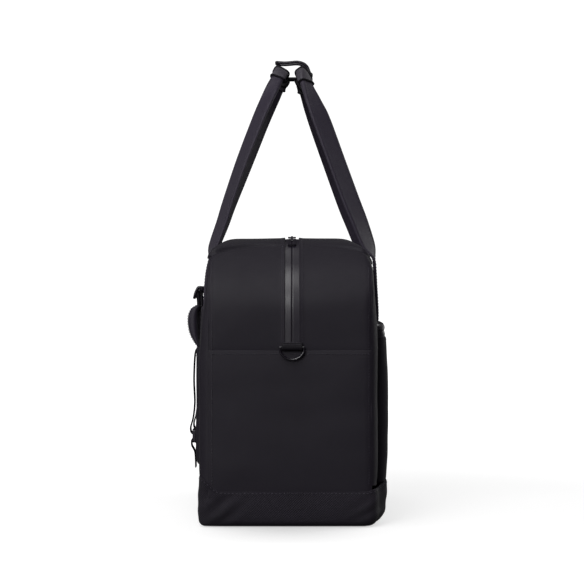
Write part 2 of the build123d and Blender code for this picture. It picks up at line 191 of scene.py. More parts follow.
def ripple(p, size):
    """Smooth repeatable unevenness between about -1 and 1, with features of the given size."""
    total = np.zeros(p.shape[:-1])
    for d, phase in WAVES:
        total += np.sin(p @ (d * 2.2 / size) + phase)
    return total / 5.0


def puff(gap, swell, groove=0.0002):
    """How far quilted cloth stands out at a distance from its nearest seam."""
    return swell * (1 - np.exp(-gap / 0.022)) - groove * np.exp(-(gap / 0.0018) ** 2)


# ---- meshes
def new_piece(name, verts, faces, uvs=None, smooth=True):
    """A mesh object; uvs hold the cloth's own measure in metres."""
    mesh = bpy.data.meshes.new(name)
    mesh.from_pydata([tuple(v) for v in verts], [], [tuple(f) for f in faces])
    mesh.validate()
    if uvs is not None:
        layer = mesh.uv_layers.new(name="cloth")
        index = np.zeros(len(mesh.loops), int)
        mesh.loops.foreach_get("vertex_index", index)
        layer.data.foreach_set("uv", np.asarray(uvs, np.float32)[index].ravel())
    if smooth:
        mesh.polygons.foreach_set("use_smooth", [True] * len(mesh.polygons))
    mesh.update()
    piece = bpy.data.objects.new(name, mesh)
    LINKS.objects.link(piece)
    return piece


def border_gap(p):
    """Distance of each grid point from the grid's nearest border, along its row or column."""
    du = np.concatenate([np.zeros((1, p.shape[1])), np.cumsum(np.linalg.norm(np.diff(p, axis=0), axis=-1), 0)], 0)
    dv = np.concatenate([np.zeros((p.shape[0], 1)), np.cumsum(np.linalg.norm(np.diff(p, axis=1), axis=-1), 1)], 1)
    return np.minimum.reduce([du, du[-1:] - du, dv, dv[:, -1:] - dv])


def cloth(name, p, n, uv, thick, flip=False):
    """A piece of cloth of real thickness over a grid of points, with rounded cut edges."""
    h = thick / 2
    g = np.sqrt(np.clip(1 - (1 - np.clip(border_gap(p) / h, 0, 1)) ** 2, 0, 1))[..., None]
    outer = p - n * h * (1 - g)
    inner = p - n * (h + h * g)
    rows, cols = p.shape[:2]
    front = np.arange(rows * cols).reshape(rows, cols)
    behind = front.copy()
    behind[1:-1, 1:-1] = rows * cols + np.arange((rows - 2) * (cols - 2)).reshape(rows - 2, cols - 2)
    verts = np.concatenate([outer.reshape(-1, 3), inner[1:-1, 1:-1].reshape(-1, 3)])
    uvs = np.concatenate([uv.reshape(-1, 2), uv[1:-1, 1:-1].reshape(-1, 2)])

    def quads(index, turn):
        a, b, c, d = index[:-1, :-1], index[1:, :-1], index[1:, 1:], index[:-1, 1:]
        order = (a, d, c, b) if turn else (a, b, c, d)
        return np.stack([q.ravel() for q in order], -1)

    faces = np.concatenate([quads(front, flip), quads(behind, not flip)])
    return new_piece(name, verts, faces.tolist(), uvs)


def tube_faces(rows, ring, turn=False):
    """Quads between rings of points that follow one another."""
    a = np.arange(rows * ring).reshape(rows, ring)
    b = np.roll(a, -1, 1)
    corners = (a[:-1], a[1:], b[1:], b[:-1]) if turn else (a[:-1], b[:-1], b[1:], a[1:])
    return np.stack([c.ravel() for c in corners], -1).tolist()


def swept(name, points, across, upright, section):
    """A closed section carried along a line and capped; directions and section may be one or one for each point."""
    across, upright = [np.broadcast_to(v, points.shape) for v in (across, upright)]
    if section.ndim == 2:
        section = np.broadcast_to(section, (len(points),) + section.shape)
    ring = section.shape[1]
    verts = points[:, None] + across[:, None] * section[..., :1] + upright[:, None] * section[..., 1:]
    around = np.concatenate([np.zeros((len(points), 1)),
                             np.cumsum(np.linalg.norm(np.diff(section, axis=1), axis=2), 1)], 1)
    length = np.broadcast_to(run_length(points)[:, None], around.shape)
    uvs = np.stack([around, length], -1).reshape(-1, 2)
    last = (len(points) - 1) * ring
    faces = tube_faces(len(points), ring) + [range(ring)[::-1], range(last, last + ring)]
    return new_piece(name, verts.reshape(-1, 3), faces, uvs)


def flat_section(width, thick, wave=0.0, steps=14):
    """The section of a strap: flat with round edges, and a raised woven rim."""
    h = thick / 2
    us = np.linspace(-1, 1, steps)
    top = [(u * (width / 2 - h), h * (1 + wave * (abs(u) > 0.8))) for u in us]
    side = [(width / 2 - h + h * math.cos(a), h * math.sin(a)) for a in np.radians([60, 30, 0, -30, -60])]
    low = [(-u, -v) for u, v in top]
    other = [(-u, -v) for u, v in side]
    return np.array(top + side + low + other)


def round_section(radius, steps=12):
    a = np.linspace(0, 2 * math.pi, steps, endpoint=False)
    return np.stack([radius * np.cos(a), radius * np.sin(a)], -1)


def curve_through(points, count):
    """A smooth line through the points, evenly spaced."""
    points = np.asarray(points, float)
    padded = np.concatenate([[2 * points[0] - points[1]], points, [2 * points[-1] - points[-2]]])
    t = np.linspace(0, len(points) - 1 - 1e-9, count * 4)
    i = t.astype(int)
    f = (t - i)[:, None]
    a, b, c, d = padded[i], padded[i + 1], padded[i + 2], padded[i + 3]
    line = 0.5 * (2 * b + (c - a) * f + (2 * a - 5 * b + 4 * c - d) * f ** 2 + (3 * b - a - 3 * c + d) * f ** 3)
    length = run_length(line[:, :3])
    at = np.linspace(0, length[-1], count)
    return np.stack([np.interp(at, length, line[:, k]) for k in range(line.shape[1])], -1)


def rounded_loop(points, radius, steps=7):
    """A closed line of straight runs joined by bends of the given radius."""
    points = [Vector(p) for p in points]
    line = []
    for i, p in enumerate(points):
        a, b = points[i - 1] - p, points[(i + 1) % len(points)] - p
        reach = min(radius, a.length * 0.48, b.length * 0.48)
        start, stop = p + a.normalized() * reach, p + b.normalized() * reach
        for k in range(steps):
            t = k / (steps - 1)
            line.append(start * (1 - t) ** 2 + p * 2 * t * (1 - t) + stop * t * t)
    return np.array([tuple(q) for q in line])


def wire(name, line, radius):
    """Round bent wire that closes on itself."""
    along = unit(np.roll(line, -1, 0) - np.roll(line, 1, 0))
    across = [np.cross(along[0], [0.3, 0.5, 0.81])]
    for t in along:
        across.append(unit(across[-1] - t * (across[-1] @ t)))
    across = np.array(across[1:])
    upright = np.cross(across, along)
    ring = round_section(radius, 12)
    verts = line[:, None] + across[:, None] * ring[None, :, :1] + upright[:, None] * ring[None, :, 1:]
    count, around = len(line), len(ring)
    shift = min(range(around), key=lambda k: np.linalg.norm(np.roll(verts[0], -k, 0) - verts[-1], axis=1).sum())
    faces = []
    for i in range(count):
        j = (i + 1) % count
        move = shift if j == 0 else 0
        for k in range(around):
            m = (k + 1) % around
            faces.append((i * around + k, i * around + m, j * around + (m + move) % around,
                          j * around + (k + move) % around))
    return new_piece(name, verts.reshape(-1, 3), faces)


class Thread:
    """Sewn stitches, gathered into one mesh for each body."""
    STITCH = tube_faces(5, 6) + [range(6)[::-1], range(24, 30)]

    def __init__(self):
        self.verts = []
        self.faces = []

    def row(self, points, normals, pitch=0.0034, length=0.0025, radius=0.00032):
        """Stitches along a line, lying on a surface with the given normals."""
        points = np.asarray(points, float)
        normals = np.asarray(normals, float)
        d = run_length(points)
        count = int(d[-1] / pitch)
        for s in (np.arange(count) + 0.5) * d[-1] / count:
            rings = []
            for t, r in ((-0.5, 0.35), (-0.36, 0.95), (0, 1.1), (0.36, 0.95), (0.5, 0.35)):
                at = s + t * length
                c = np.array([np.interp(at, d, points[:, k]) for k in range(3)])
                n = np.array([np.interp(at, d, normals[:, k]) for k in range(3)])
                rings.append((c, unit(n), r * radius))
            axis = unit(rings[-1][0] - rings[0][0])
            base = len(self.verts)
            for c, n, r in rings:
                side = np.cross(axis, n)
                for k in range(6):
                    a = k * math.pi / 3
                    self.verts.append(c + n * (r * math.sin(a) + (r - radius) * 0.9) + side * r * math.cos(a))
            self.faces += [[base + i for i in face] for face in self.STITCH]

    def piece(self, name):
        return new_piece(name, self.verts, self.faces)


# ---- materials
def tune(node, values):
    """Sets a node's own inputs by name."""
    for key, value in values.items():
        node.inputs[key].default_value = value
    return node


def look(name, colour, rough, weave=None, depth=0.0, twill=False, sheen=0.0, coat=0.0, spread=0.12,
         grain=900.0, grain_depth=0.00003, spec=0.5, fleck=0.0):
    """A procedural finish: uneven colour and gloss, fine grain, and a weave in the cloth's own measure.

    weave is the length of one repeat and depth its height; spread is how far the colour varies, and fleck how
    much of the weave shows as colour."""
    m = bpy.data.materials.new(name)
    m.use_nodes = True
    nodes, link = m.node_tree.nodes, m.node_tree.links.new
    shader = nodes["Principled BSDF"]
    tune(shader, {"Sheen Weight": sheen, "Sheen Roughness": 0.45, "Coat Weight": coat, "Coat Roughness": 0.25,
                  "Specular IOR Level": spec})
    place = nodes.new("ShaderNodeTexCoord")

    def calc(kind, *values):
        node = nodes.new("ShaderNodeMath")
        node.operation = kind
        for socket, value in zip(node.inputs, values):
            if isinstance(value, (int, float)):
                socket.default_value = value
            else:
                link(value, socket)
        return node.outputs[0]

    def noise(scale, detail):
        node = tune(nodes.new("ShaderNodeTexNoise"), {"Scale": scale, "Detail": detail})
        link(place.outputs["Object"], node.inputs["Vector"])
        return node.outputs["Fac"]

    broad = noise(9.0, 4.0)
    fine = noise(grain, 2.0)
    height = calc("MULTIPLY", fine, grain_depth)
    tone = calc("ADD", calc("MULTIPLY", broad, 0.7), calc("MULTIPLY", fine, 0.3))
    if weave:
        split = nodes.new("ShaderNodeSeparateXYZ")
        link(place.outputs["UV"], split.inputs[0])
        rate = 2 * math.pi / weave
        if twill:
            lean = calc("ADD", split.outputs[0], calc("MULTIPLY", split.outputs[1], 0.6))
            pattern = calc("SINE", calc("MULTIPLY", lean, rate))
        else:
            pattern = calc("MULTIPLY", *[calc("SINE", calc("MULTIPLY", split.outputs[k], rate)) for k in (0, 1)])
        height = calc("ADD", height, calc("MULTIPLY", pattern, depth))
        if fleck:
            tone = calc("ADD", tone, calc("MULTIPLY", pattern, fleck))
    mix = nodes.new("ShaderNodeValToRGB")
    ramp = mix.color_ramp
    for stop, at, gain in zip(ramp.elements, (0.2, 0.8), (1 - 2.2 * spread, 1 + 2.6 * spread)):
        stop.position = at
        stop.color = (*[c * gain for c in colour], 1)
    link(tone, mix.inputs["Fac"])
    link(mix.outputs["Color"], shader.inputs["Base Color"])
    uneven = tune(nodes.new("ShaderNodeMapRange"), {"To Min": rough - 0.06, "To Max": rough + 0.06})
    link(noise(30.0, 3.0), uneven.inputs["Value"])
    link(uneven.outputs["Result"], shader.inputs["Roughness"])
    bump = tune(nodes.new("ShaderNodeBump"), {"Strength": 1.0, "Distance": 1.0})
    link(height, bump.inputs["Height"])
    link(bump.outputs["Normal"], shader.inputs["Normal"])
    return m


TINT = (1.0, 0.74, 1.40)  # the cloth's violet cast


def grey(v):
    return tuple(v * t for t in TINT)


LOOKS = {
    "shell": look("shell_cloth", grey(0.0112), 0.62, weave=0.0009, depth=0.00002, sheen=0.05, spread=0.05,
                  spec=0.35),
    "boot": look("boot_cloth", grey(0.0108), 0.68, weave=0.0030, depth=0.00030, sheen=0.06, spread=0.24,
                 grain=300.0, grain_depth=0.00030, fleck=0.16, spec=0.35),
    "zip_film": look("zip_film", grey(0.013), 0.38, spread=0.12, grain=420.0, grain_depth=0.00006, spec=0.75),
    "zip_coil": look("zip_coil", grey(0.012), 0.45, spread=0.1),
    "webbing": look("webbing", grey(0.0060), 0.6, weave=0.0022, depth=0.00012, sheen=0.03, spread=0.12,
                    fleck=0.1, spec=0.25),
    "handle_fabric": look("handle_cloth", grey(0.026), 0.55, weave=0.0010, depth=0.00004, twill=True, sheen=0.12,
                          spread=0.06, spec=0.4),
    "grip_wrap": look("grip_cloth", (0.056, 0.049, 0.064), 0.5, weave=0.0014, depth=0.00006, sheen=0.1, spread=0.1),
    "pad_fabric": look("pad_cloth", grey(0.018), 0.6, weave=0.0012, depth=0.00004, sheen=0.08, spread=0.08),
    "black_metal": look("black_metal", grey(0.012), 0.32, spread=0.15, grain=1500.0, grain_depth=0.00001,
                        coat=0.2),
    "gloss_metal": look("gloss_metal", grey(0.008), 0.16, spread=0.12, grain=700.0, grain_depth=0.000004,
                        coat=0.6),
    "buckle_plastic": look("buckle_plastic", grey(0.014), 0.42, spread=0.12, grain=1800.0, grain_depth=0.00002),
    "board": look("board", grey(0.03), 0.6, spread=0.1),
    "lining": look("lining_cloth", grey(0.045), 0.6, weave=0.0008, depth=0.00003, sheen=0.05, spread=0.1),
    "thread": look("thread", grey(0.022), 0.5, spread=0.15, grain=2500.0, grain_depth=0.00002, sheen=0.2),
}


def dress(piece, slot, body=None, replaces=(), thread=False):
    """Gives a piece the finish of its record slot, parents it to the body it moves with and hides the nodes it
    stands for.
    """
    piece.data.materials.clear()
    piece.data.materials.append(LOOKS["thread" if thread else slot])
    if replaces:
        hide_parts(*replaces)
    if body:
        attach(piece, body)
    return piece


def web(name, x, path_yz, count, section, body, replaces=()):
    """Webbing that lies flat across the bag's length and follows a path in its end view."""
    line = curve_through([(x, y, z) for y, z in path_yz], count)
    upright = np.cross(X_AXIS, unit(np.gradient(line, axis=0)))
    return dress(swept(name, line, X_AXIS, upright, section), "webbing", body, replaces)


def at_end(end, *fields):
    """Points or directions made for the near end, mirrored for the far one."""
    return [f * MIRROR if end > 0 else f for f in fields]


def follow_flap(piece):
    """Bakes the placement of a piece of the mouth's near or far part into its mesh."""
    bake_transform(piece)


# ---- body panels
bag_thread = Thread()
ENDS = (("near", -1), ("far", 1))
SIDES = (("back", 1), ("front", -1))
FOLD = WALL + ARC * 0.70  # where the shoulder's fold crosses the middle of the gusset


def strip(s, y, level=0.0):
    """A grid over the gusset: s along the outline, y across the bag."""
    x, z, nx, nz = outline(s)
    p = np.stack(np.broadcast_arrays(x[:, None], y[None, :], z[:, None]), -1).astype(float)
    d = np.stack(np.broadcast_arrays(nx[:, None], 0.0, nz[:, None]), -1).astype(float)
    p = settle(p, d, level)
    uv = np.stack(np.broadcast_arrays(y[None, :], s[:, None]), -1).astype(float)
    return p, normal(p), uv, s[:, None] + 0 * y[None, :], y[None, :] + 0 * s[:, None]


def shoulder_crease(s, y):
    """The soft fold across each shoulder, where the cloth of the top steps out over the end's."""
    side = np.clip(np.abs(y) / 0.095, 0, 1.1)
    fold = FOLD - 0.016 * side ** 3
    deep = np.where(y > 0, 0.0022 + 0.0024 * side ** 1.3, 0.0003 + 0.0034 * side ** 3)
    rise = 0
    for along in (s, TOTAL - s):
        gap = along - fold
        step = ease((gap + 0.0012) / 0.0040) * np.exp(-(np.maximum(gap, 0) / 0.016) ** 2)
        rise = rise + deep * (0.80 * step - 0.60 * np.exp(-((gap + 0.0010) / 0.0028) ** 2))
    fade = 1 - np.exp(-((np.abs(y) - ZIP_EDGE) / 0.012) ** 2)
    return rise * np.clip(fade, 0, 1)


def top_sag(s):
    """How far the flat top sags at a place along the outline."""
    return SAG * np.exp(-((s - TOTAL / 2) / 0.11) ** 2)


def gusset_lift(s, y, p):
    """How far the gusset's cloth stands off the plain form."""
    to_side = np.where(y > 0, EDGE_BACK - y, y - EDGE_FRONT)
    seam = np.minimum(np.minimum(s - MID_SEAM, TOTAL - s - MID_SEAM), to_side)
    lift = puff(np.maximum(seam, 0), 0.0011) + 0.0006 * np.exp(-((np.abs(y) - ZIP_EDGE) / 0.003) ** 2)
    lift = lift + 0.0006 * ripple(p, 0.09) + 0.00025 * ripple(p + 3.0, 0.03)
    return lift + shoulder_crease(s, y) - top_sag(s) * np.exp(-(y / 0.06) ** 2)


def with_fold(s):
    """Adds close rows to samples along the outline where a shoulder's fold lies."""
    rows = np.arange(FOLD - 0.026, FOLD + 0.008, 0.0009)
    rows = np.concatenate([rows, (TOTAL - rows)[::-1]])
    rows = rows[(rows > s[0] + 0.002) & (rows < s[-1] - 0.002)]
    kept = s[[np.abs(rows - v).min() > 0.0006 for v in s]]
    return np.sort(np.concatenate([kept, rows]))


def gusset_patch(name, s, y):
    p, n, uv, ss, yy = strip(s, y)
    p = p + n * gusset_lift(ss, yy, p)[..., None]
    return cloth(name, p, n, uv, CLOTH, y[0] < 0)


for side_name, side in SIDES:
    edge = (EDGE_BACK if side > 0 else EDGE_FRONT) + side * LAP
    full = samples(side * ZIP_EDGE, edge, GRID)
    inner = samples(side * ZIP_EDGE, side * (MOUTH_Y + LAP), GRID)
    outer = samples(side * (MOUTH_Y - LAP), edge, 0.003)
    near = with_fold(samples(MID_SEAM - LAP, s_at(-MOUTH_X) + LAP, GRID))
    far = with_fold(samples(s_at(MOUTH_X) - LAP, TOTAL - MID_SEAM + LAP, GRID))
    middle = samples(s_at(-MOUTH_X) - LAP, s_at(MOUTH_X) + LAP, 0.005)
    for part, s, y in (("near", near, full), ("far", far, full), ("rail", middle, outer)):
        piece = gusset_patch("gusset_%s_%s" % (side_name, part), s, y)
        dress(piece, "shell", "bag", ["gusset_" + side_name] if part == "near" else ())
    for end_name, end in ENDS:
        s = samples(s_at(end * (MOUTH_X + LAP)), s_at(0), GRID)[::-end]
        piece = gusset_patch("mouth_%s_%s" % (side_name, end_name), s, inner)
        dress(piece, "shell", None, ["flap_" + side_name] if end < 0 else ())
        follow_flap(piece)

for end_name, end in ENDS:
    y = samples(EDGE_FRONT - LAP, EDGE_BACK + LAP, GRID)
    p, n, uv, ss, yy = strip(samples(0.036, MID_SEAM + LAP, GRID), y)
    seam = np.minimum.reduce([MID_SEAM - ss, ss - BOOT_LOW + 0.004, EDGE_BACK - yy, yy - EDGE_FRONT])
    lift = puff(np.maximum(seam, 0), 0.0016) + 0.0009 * ripple(p, 0.12) + 0.0003 * ripple(p + 5.0, 0.035)
    p, n = at_end(end, p + n * lift[..., None], n)
    piece = cloth("end_panel_%s_skin" % end_name, p, n, uv, CLOTH, end > 0)
    dress(piece, "shell", "bag", ["end_panel_" + end_name])


# ---- the long walls
def edge_line(side):
    """The side seam between the gusset and a long wall, from foot to foot, and its outward direction."""
    edge = EDGE_BACK if side > 0 else EDGE_FRONT
    p, n, _, _, _ = strip(np.linspace(0.03, TOTAL - 0.03, 500), np.array([edge]))
    return p[:, 0], n[:, 0]


def long_wall(side, level=0.0, foot=0.05):
    """A grid over the back or front wall, with each point's distance from the nearest seam."""
    line, _ = edge_line(side)
    half = line[:, 0].max() + LAP
    x = samples(-half, half, 0.005, 0.0012)
    arch = line[line[:, 2] > 0.2]
    order = np.argsort(arch[:, 0])
    top = np.interp(x, arch[order, 0], arch[order, 2]) + LAP
    z = foot + (top[None, :] - foot) * samples(0, 1, 0.016, 0.005)[:, None]
    xs = np.broadcast_to(x[None, :], z.shape)
    p = np.stack([xs, np.full(z.shape, side * 0.1), z], -1)
    p = settle(p, np.broadcast_to(side * Y_AXIS, p.shape), level, out=0.03, deep=0.06)
    seam = np.minimum.reduce([top[None, :] - z, half - np.abs(xs), z - BOOT_HIGH + 0.006])
    return p, normal(p), np.stack([xs, z], -1), np.maximum(seam, 0)


for side_name, side in SIDES:
    p, n, uv, seam = long_wall(side)
    lift = puff(seam, 0.0018) + 0.0007 * ripple(p, 0.13) + 0.0003 * ripple(p + 2.0, 0.04)
    piece = cloth(side_name + "_panel_skin", p + n * lift[..., None], n, uv, CLOTH, side > 0)
    dress(piece, "shell", "bag", [side_name + "_panel"])
    line, outward = edge_line(side)
    high = line[:, 2] > 0.05
    bag_thread.row((line - side * SEWN_IN * Y_AXIS + outward * 0.0012)[high], outward[high])


# ---- the coarse boot
def boot_ring():
    """Points round the bag's foot in plan, with their outward directions."""
    r = CORNER_R
    cx, cy = HALF - r, (BACK - FRONT) / 2 - r
    pts, out = [], []
    runs = [((cx + r, -cy), (cx + r, cy)), ((cx, cy + r), (-cx, cy + r)), ((-cx - r, cy), (-cx - r, -cy)),
            ((-cx, -cy - r), (cx, -cy - r))]
    for k, (a, b) in enumerate(runs):
        a, b = np.array(a), np.array(b)
        steps = max(8, int(np.linalg.norm(b - a) / 0.0035))
        direction = np.array([math.cos(k * math.pi / 2), math.sin(k * math.pi / 2)])
        for t in np.linspace(0, 1, steps, endpoint=False):
            pts.append(a + (b - a) * t)
            out.append(direction)
        for t in np.linspace(0, math.pi / 2, 10, endpoint=False):
            d = np.array([math.cos(k * math.pi / 2 + t), math.sin(k * math.pi / 2 + t)])
            pts.append(b - direction * r + d * r)
            out.append(d)
    return np.array(pts) + [0, (BACK + FRONT) / 2], np.array(out)


def boot_seam(x, y):
    """Height of the boot's top edge."""
    corner = 0.0035 * ease((-y - 0.090) / 0.012)
    belly = (BOOT_FRONT - BOOT_LOW - 0.0035) * belly_share(x, y)
    return BOOT_LOW + (BOOT_HIGH - BOOT_LOW) * ease((y - 0.086) / 0.028) + corner + belly


def belly_share(x, y):
    """1 along the boot's belly under the front pocket, 0 round the rest of the boot."""
    return ease((BELLY_X - np.abs(x)) / 0.016 + 0.35) * ease((-y - 0.096) / 0.006)


def belly_depth(z):
    """How far the belly stands out at a height."""
    return np.interp(z, [0, 0.003, 0.007, 0.014, 0.028, 0.05, 0.06],
                     [0, 0.0018, 0.0044, 0.0074, 0.0100, 0.0122, 0.0124])


ring, out = boot_ring()
rows = np.concatenate([[1, 0.996, 0.985, 0.96], np.linspace(0.92, 0.30, 12),
                       [0.24, 0.19, 0.145, 0.105, 0.07, 0.042, 0.02, 0.006, 0.001]])
top = boot_seam(ring[:, 0], ring[:, 1])
z = rows[:, None] * top[None, :]
p = np.stack([np.broadcast_to(ring[:, 0], z.shape), np.broadcast_to(ring[:, 1], z.shape), z], -1)
d = np.stack([np.broadcast_to(out[:, 0], z.shape), np.broadcast_to(out[:, 1], z.shape), 0 * z], -1)
p = settle(p, d, 0.0, 0.01, 0.05)
n = normal(p)
corner = np.exp(-((p[..., 1] - 0.084) / 0.022) ** 2) + 0.5 * np.exp(-((p[..., 1] + 0.092) / 0.020) ** 2)
corner = corner * (np.abs(p[..., 0]) > 0.2)
folds = np.sin((p[..., 1] * 0.9 + p[..., 2] * 1.3) * 260 + 2 * ripple(p, 0.05)) * corner
bulge = np.sin(rows * math.pi)[:, None]
lift = 0.0012 + 0.0010 * bulge + 0.0006 * ripple(p, 0.05)
bend = ease((p[..., 1] - 0.066) / 0.055) * np.clip((1 - rows) / 0.3, 0, 1)[:, None]
lift = lift - 0.0045 * bend * np.abs(n[..., 0])
lift = (lift + 0.0018 * folds * bulge) * np.clip(z / 0.006, 0, 1)
p = p + n * lift[..., None]
p[..., 1] -= belly_depth(z) * belly_share(ring[:, 0], ring[:, 1])[None, :]
p[..., 2] = np.maximum(p[..., 2], FLOOR_GAP)
centre = np.array([0, (BACK + FRONT) / 2, FLOOR_GAP])
sole = [centre + (p[-1] - centre) * share for share in (0.985, 0.93, 0.8, 0.55, 0.25)]
for q in sole:
    q[:, 2] = FLOOR_GAP
hem = [p[0] - n[0] * 0.0022 - 0.008 * Z_AXIS, p[0] - n[0] * 0.0022, p[0] - n[0] * 0.0012 + 0.0006 * Z_AXIS]
stack = np.concatenate([hem, p, sole])
count, around = stack.shape[:2]
verts = np.concatenate([stack.reshape(-1, 3), [centre]])
last = (count - 1) * around
faces = tube_faces(count, around, True)
faces += [(last + j, count * around, last + (j + 1) % around) for j in range(around)]
uvs = np.stack([np.broadcast_to(run_length(ring), (count, around)), stack[..., 2]], -1).reshape(-1, 2)
uvs = np.concatenate([uvs, [[0, 0]]])
flat_from = (len(hem) + len(p)) * around
uvs[flat_from:-1] = verts[flat_from:-1, :2]
dress(new_piece("boot_skin", verts, faces, uvs), "boot", "bag", ["base_boot"])
SEWN_ROW = 3
bag_thread.row(*[np.concatenate([v[SEWN_ROW], v[SEWN_ROW][:1]]) for v in (p, n)], 0.0048, 0.0030, 0.0004)


# ---- main zip
def film(name, side, s):
    """The film over one tape, a little lower along the top, where the sliders run."""
    p, n, uv, ss, yy = strip(s, side * samples(0.0002, 0.0104, 0.0009, 0.0004))
    a = np.abs(yy)
    along_top = ease((np.minimum(ss, TOTAL - ss) - WALL - ARC + 0.012) / 0.02)
    rise = 0.0001 - 0.0018 * along_top + 0.0005 * np.clip(1 - a / 0.0088, 0, 1)
    rise = rise - 0.0005 * np.exp(-(a / 0.0005) ** 2)
    rise = rise + 0.00005 * ripple(p, 0.012) + 0.0003 * ripple(p, 0.09) - top_sag(ss)
    return cloth(name, p + n * rise[..., None], n, uv, FILM, side < 0)


def coil(name, side, s):
    """The zip's coil on one tape, a row of ribs under the film."""
    rows = np.arange(s[0], s[-1], 0.0008)
    p, n, _, _, _ = strip(rows, np.array([side * 0.0017]))
    line = p[:, 0] - n[:, 0] * (0.0034 + top_sag(rows))[:, None]
    ribs = round_section(0.0008, 8) * (1 - 0.3 * (np.arange(len(rows)) % 2))[:, None, None]
    return swept(name, line, Y_AXIS, n[:, 0], ribs)


def zip_run(side_name, side, end_name, s, lip):
    """The film and the coil of one run of the zip; a lip's run is given no body and has its placement baked."""
    for kind, make, cad in (("film", film, "tape"), ("coil", coil, "coil")):
        piece = make("%s_%s_%s_%s" % ("lip" if lip else "zip", kind, side_name, end_name), side, s)
        replaced = ["%s_%s_%s" % ("flap" if lip else "zip", cad, side_name)]
        dress(piece, "zip_" + kind, None if lip else "bag", replaced if end_name == "near" else ())
        if lip:
            follow_flap(piece)


def zip_stitches(thread, side, s):
    """Stitches beside the zip, on the gusset's cloth."""
    p, n, _, ss, yy = strip(s, np.array([side * ZIP_SEWN]))
    thread.row((p + n * gusset_lift(ss, yy, p)[..., None])[:, 0], n[:, 0])


for side_name, side in SIDES:
    zip_run(side_name, side, "near", samples(MID_SEAM + 0.004, s_at(-MOUTH_X), GRID), False)
    zip_run(side_name, side, "far", samples(s_at(MOUTH_X), TOTAL - MID_SEAM - 0.004, GRID), False)
    zip_run(side_name, side, "near", samples(s_at(-MOUTH_X), s_at(0), GRID), True)
    zip_run(side_name, side, "far", samples(s_at(0), s_at(MOUTH_X), GRID), True)

for side_name, side in SIDES:
    zip_stitches(bag_thread, side, np.linspace(MID_SEAM + 0.002, s_at(-MOUTH_X), 120))
    zip_stitches(bag_thread, side, np.linspace(s_at(MOUTH_X), TOTAL - MID_SEAM - 0.002, 120))
    for end_name, end in ENDS:
        lip_thread = Thread()
        zip_stitches(lip_thread, side, np.linspace(s_at(end * MOUTH_X), s_at(0), 80))
        piece = dress(lip_thread.piece("lip_thread_%s_%s" % (side_name, end_name)), "shell", thread=True)
        follow_flap(piece)

# the topstitch of the end panels
for end_name, end in ENDS:
    y = np.linspace(EDGE_FRONT + 0.003, EDGE_BACK - 0.003, 90)
    p, n, _, _, _ = strip(np.array([MID_SEAM - SEWN_IN]), y)
    bag_thread.row(*at_end(end, p[0] + n[0] * 0.0007, n[0]))

# ---- end tabs
TAB_FOLD = [(0.0030, 0.0053), (-0.0012, 0.0051), (-0.0026, 0.0026), (-0.0027, -0.0006), (-0.0016, -0.0026),
            (0.0008, -0.0029), (0.0022, -0.0016), (0.0025, 0.0010), (0.0018, 0.0036)]
TAB_SEWN = 0.0105  # half the length of the tab's stitches
for end_name, end in ENDS:
    low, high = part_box("d_ring_" + end_name)
    cx, cz = (low.x + high.x) / 2, high.z - 0.0015
    line = curve_through([(cx - end * a, 0, cz + b) for a, b in TAB_FOLD], 40)
    upright = np.cross(unit(np.gradient(line, axis=0)), Y_AXIS)
    piece = swept("end_tab_%s_web" % end_name, line, Y_AXIS, upright, flat_section(0.0250, 0.0012))
    dress(piece, "webbing", "bag", ["end_tab_" + end_name])
    face = np.array([cx + end * 0.0034, 0, cz + 0.0034])
    for rise in (0.0, 0.0022):
        ends = [face + [0, -TAB_SEWN, rise], face + [0, TAB_SEWN, rise]]
        bag_thread.row(ends, [[end, 0, 0]] * 2, 0.003, 0.0022)

# ---- handles
# the near leg of each handle, from foot to grip: x, y, z in mm, direction of its width, width and thickness in mm
BACK_LEG = [
    (-115, 113.2, 208, -1, 0, 0, 30, 2.2),
    (-115, 112.6, 232, -1, 0, 0, 30, 2.4),
    (-115, 110.9, 256, -1, 0, 0, 30, 3.0),
    (-115, 110.2, 276, -1, 0, 0, 30, 3.2),
    (-115, 109.2, 294, -1, 0, 0, 30, 3.2),
    (-115, 107.2, 312, -1, 0, 0, 30, 3.2),
    (-115, 103.8, 329, -1, -0.08, 0, 30, 3.2),
    (-114, 99.8, 344, -1, -0.42, 0, 30, 3.4),
    (-112, 88.6, 376, -1, -0.5, 0, 30, 3.6),
    (-109, 80.6, 403, -1, -0.5, 0, 30, 3.6),
    (-100, 63.0, 455, -1, -0.56, 0, 30, 3.8),
    (-87, 42.8, 508, -1, -0.64, -0.1, 28, 4.2),
    (-80, 32.5, 532, -0.9, -0.75, -0.2, 24, 5.0),
    (-72, 23.5, 551.5, -0.6, -0.9, -0.4, 19, 5.8),
    (-62, 16.0, 565.7, -0.1, -0.87, -0.49, 15, 6.4),
    (-50, 14, 569.7, 0, -0.87, -0.49, 14, 6.6),
    (0, 14, 569.9, 0, -0.87, -0.49, 14, 6.6),
]
